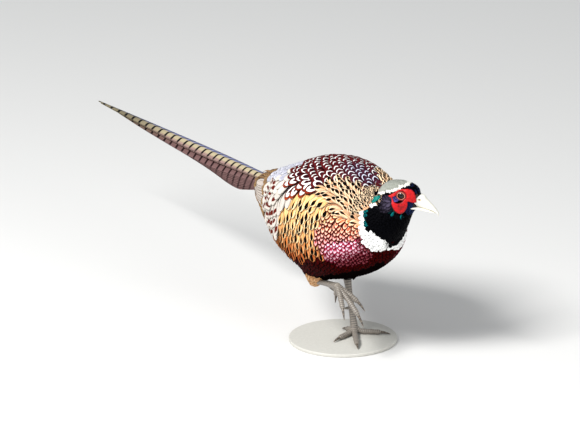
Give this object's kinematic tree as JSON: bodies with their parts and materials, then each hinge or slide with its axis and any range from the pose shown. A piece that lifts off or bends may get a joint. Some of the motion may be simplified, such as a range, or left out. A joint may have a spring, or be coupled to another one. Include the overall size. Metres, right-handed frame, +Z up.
{
  "type": "ring-necked pheasant cock model",
  "caption": "Life-size model of a walking common pheasant cock, long barred tail, standing on its left foot on a small round base.",
  "frame": {"origin": "middle of the underside of the round base, under the standing foot", "axes": "+X the way the bird walks, +Y its left, +Z up"},
  "size_m": [0.7127, 0.1504, 0.2447],
  "materials": {
    "body_plumage": "satin",
    "wing_plumage": "satin",
    "tail_plumage": "satin",
    "neck_plumage": "satin",
    "head_plumage": "satin",
    "wattle_skin": "matte",
    "bill_horn": "satin",
    "eye": "gloss",
    "leg_scale": "satin",
    "claw_horn": "satin",
    "base_paint": "matte"
  },
  "bodies": {
    "root": {"bill_lower": "bill_horn", "bill_upper": "bill_horn", "claw_left_hind": "claw_horn", "claw_left_inner": "claw_horn", "claw_left_middle": "claw_horn", "claw_left_outer": "claw_horn", "claw_right_hind": "claw_horn", "claw_right_inner": "claw_horn", "claw_right_middle": "claw_horn", "claw_right_outer": "claw_horn", "eye_left": "eye", "eye_right": "eye", "foot_left": "leg_scale", "foot_right": "leg_scale", "head": "head_plumage", "neck": "neck_plumage", "stand_base": "base_paint", "tail": "tail_plumage", "tarsus_left": "leg_scale", "tarsus_right": "leg_scale", "thigh_left": "body_plumage", "thigh_right": "body_plumage", "torso": "body_plumage", "wattle_left": "wattle_skin", "wattle_right": "wattle_skin", "wing_left": "wing_plumage", "wing_right": "wing_plumage"}
  },
  "joints": []
}
